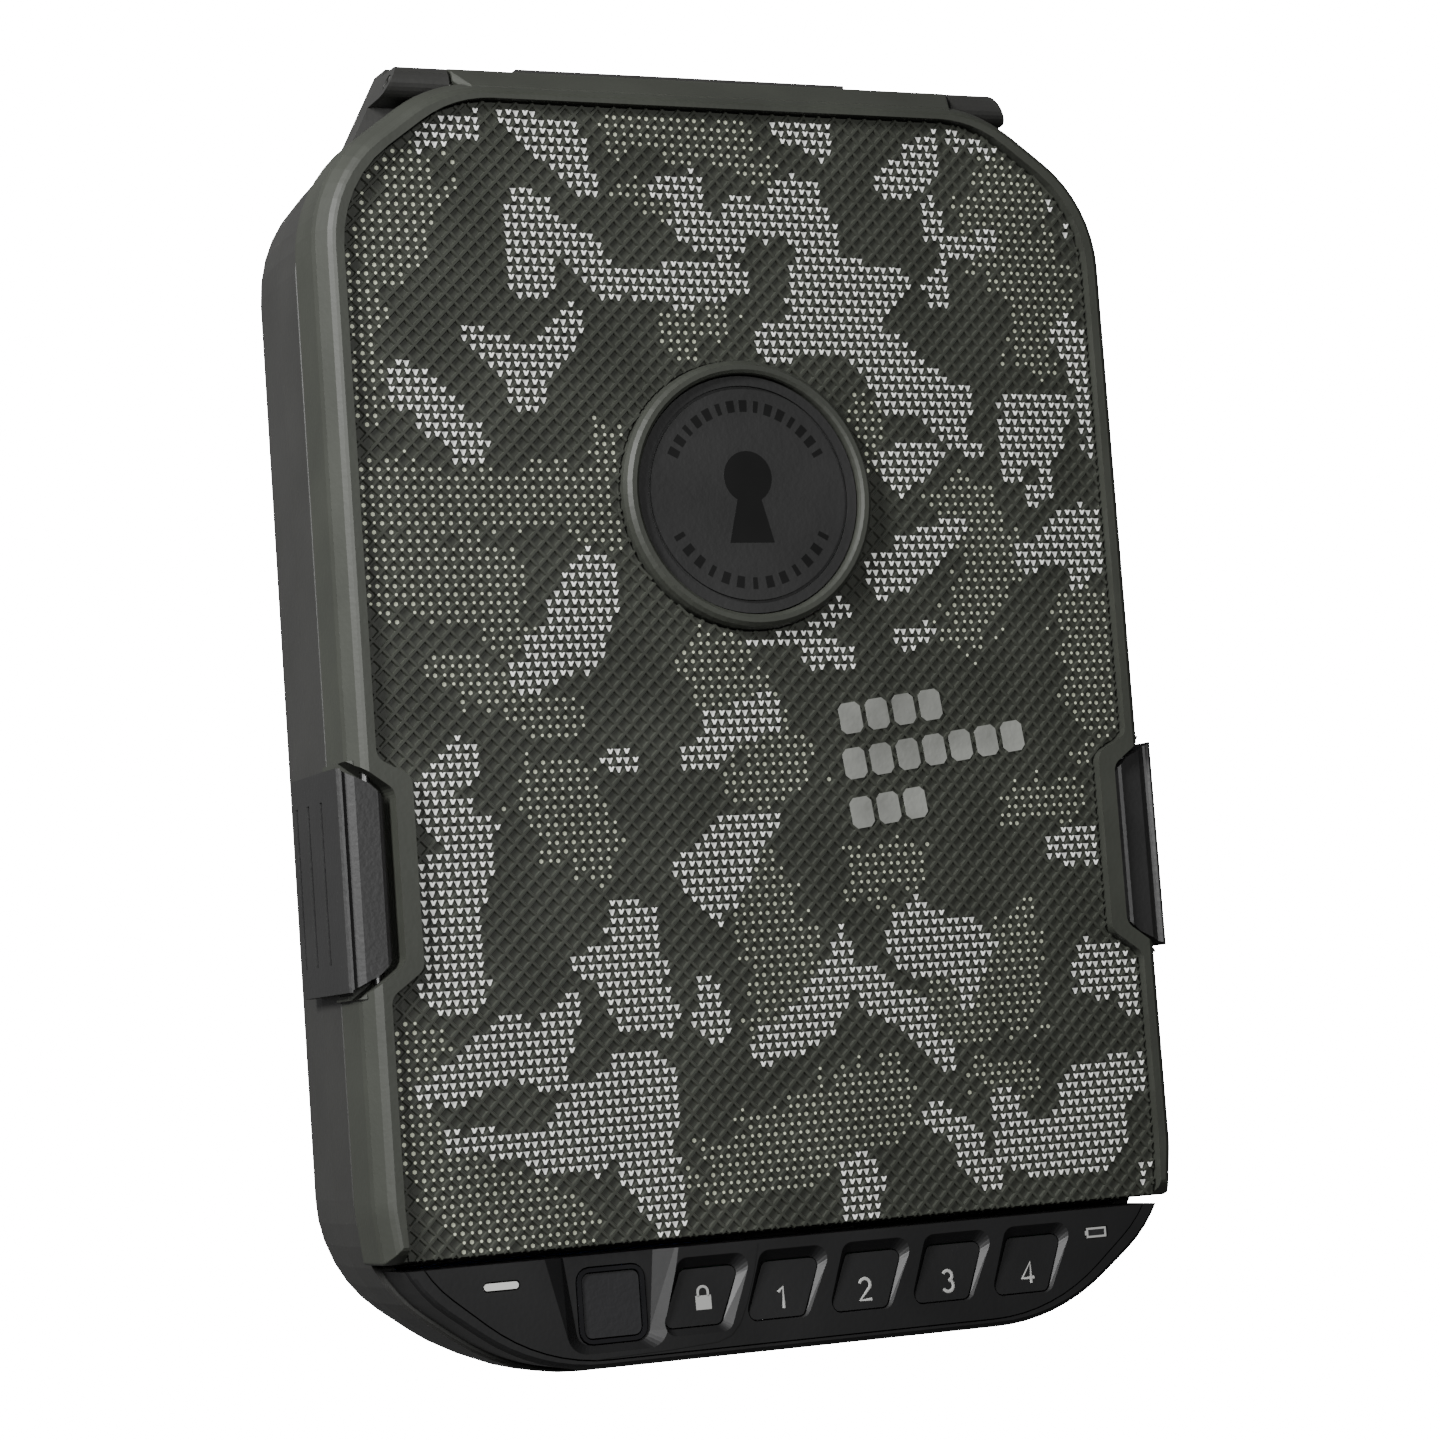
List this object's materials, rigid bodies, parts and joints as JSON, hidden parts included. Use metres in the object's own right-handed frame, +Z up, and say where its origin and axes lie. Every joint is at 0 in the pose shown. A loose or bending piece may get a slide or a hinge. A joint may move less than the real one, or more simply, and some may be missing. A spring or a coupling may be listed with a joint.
{
  "type": "gun safe",
  "caption": "Portable gun safe with a hinged textured lid, side latches, a fingerprint sensor and a keypad at the front, closed.",
  "frame": {"origin": "centre of the footprint, at the underside of the rubber feet", "axes": "+X to the right seen from the keypad end, +Y towards the lid hinge along the longest side, +Z up out of the lid"},
  "size_m": [0.184, 0.2666, 0.0566],
  "materials": {
    "olive_shell": "moulded satin olive plastic",
    "textured_panel": "knurled olive panel with a printed pale camouflage",
    "black_plastic": "satin black plastic",
    "latch_plastic": "matt black glass-filled nylon",
    "gloss_black": "polished black window",
    "indicator_lens": "milky white lens",
    "rubber": "matt black rubber",
    "foam": "charcoal open-cell foam",
    "steel": "plated steel",
    "brass": "turned brass",
    "circuit_board": "green solder mask",
    "battery_wrap": "shrink-wrapped cell"
  },
  "bodies": {
    "base": {"base_shell": "olive_shell", "rim_gasket": "rubber", "base_foam": "foam", "foot_front_left": "rubber", "foot_front_right": "rubber", "foot_rear_left": "rubber", "foot_rear_right": "rubber", "hinge_pin_left": "steel", "hinge_pin_right": "steel", "lock_cover": "black_plastic", "cover_screw_left": "steel", "cover_screw_right": "steel", "keypad_housing": "black_plastic", "keypad_plate": "black_plastic", "switch_lock": "black_plastic", "switch_1": "black_plastic", "switch_2": "black_plastic", "switch_3": "black_plastic", "switch_4": "black_plastic", "fingerprint_sensor": "gloss_black", "sensor_bezel": "gloss_black", "status_light": "indicator_lens", "battery_light": "indicator_lens", "control_board": "circuit_board", "sounder": "black_plastic", "battery_holder": "black_plastic", "battery_cell": "battery_wrap", "charging_port": "steel", "key_cylinder": "steel", "lock_motor": "steel", "bolt_guide": "black_plastic"},
    "lid": {"lid_shell": "olive_shell", "lid_panel": "textured_panel", "badge_ring": "olive_shell", "badge_disc": "black_plastic", "lid_foam": "foam", "striker": "steel", "striker_screw_left": "steel", "striker_screw_right": "steel", "latch_pin_left": "steel", "latch_pin_right": "steel"},
    "latch_left": {"latch_left": "latch_plastic"},
    "latch_right": {"latch_right": "latch_plastic"},
    "button_lock": {"key_lock": "black_plastic"},
    "button_1": {"key_1": "black_plastic"},
    "button_2": {"key_2": "black_plastic"},
    "button_3": {"key_3": "black_plastic"},
    "button_4": {"key_4": "black_plastic"},
    "bolt": {"lock_bolt": "steel"},
    "screw": {"lead_screw": "brass"},
    "override_plug": {"key_plug": "brass", "key_cam": "steel"},
    "port_flap": {"port_cover": "rubber"}
  },
  "joints": [
    {"name": "lid_hinge", "type": "hinge", "parent": "base", "child": "lid", "pos_m": [0, 0.1267, 0.046], "axis": [-1, 0, 0], "range_deg": [0, 105]},
    {"name": "latch_left_pivot", "type": "hinge", "parent": "lid", "child": "latch_left", "pos_m": [-0.0854, -0.03405, 0.051], "axis": [0, 1, 0], "range_deg": [0, 50]},
    {"name": "latch_right_pivot", "type": "hinge", "parent": "lid", "child": "latch_right", "pos_m": [0.0854, -0.03405, 0.051], "axis": [0, -1, 0], "range_deg": [0, 50]},
    {"name": "button_lock_press", "type": "slide", "parent": "base", "child": "button_lock", "axis": [0, 0, -1], "range_m": [0, 0.0008], "stiffness_N_per_m": 400, "springref_m": -0.0005},
    {"name": "button_1_press", "type": "slide", "parent": "base", "child": "button_1", "axis": [0, 0, -1], "range_m": [0, 0.0008], "stiffness_N_per_m": 400, "springref_m": -0.0005},
    {"name": "button_2_press", "type": "slide", "parent": "base", "child": "button_2", "axis": [0, 0, -1], "range_m": [0, 0.0008], "stiffness_N_per_m": 400, "springref_m": -0.0005},
    {"name": "button_3_press", "type": "slide", "parent": "base", "child": "button_3", "axis": [0, 0, -1], "range_m": [0, 0.0008], "stiffness_N_per_m": 400, "springref_m": -0.0005},
    {"name": "button_4_press", "type": "slide", "parent": "base", "child": "button_4", "axis": [0, 0, -1], "range_m": [0, 0.0008], "stiffness_N_per_m": 400, "springref_m": -0.0005},
    {"name": "bolt_slide", "type": "slide", "parent": "base", "child": "bolt", "axis": [0, 1, 0], "range_m": [0, 0.007]},
    {"name": "lead_screw_turn", "type": "hinge", "parent": "base", "child": "screw", "pos_m": [0, -0.1193, 0.031], "axis": [0, 1, 0], "range_deg": [0, 360]},
    {"name": "key_turn", "type": "hinge", "parent": "base", "child": "override_plug", "pos_m": [0.024, -0.1333, 0.018], "axis": [0, 1, 0], "range_deg": [0, 90]},
    {"name": "port_cover_hinge", "type": "hinge", "parent": "base", "child": "port_flap", "pos_m": [-0.032, -0.1323, 0.014], "axis": [1, 0, 0], "range_deg": [0, 90]}
  ],
  "couplings": [
    {"joint": "lead_screw_turn", "follows": "bolt_slide", "rad_per_m": 897.6}
  ]
}
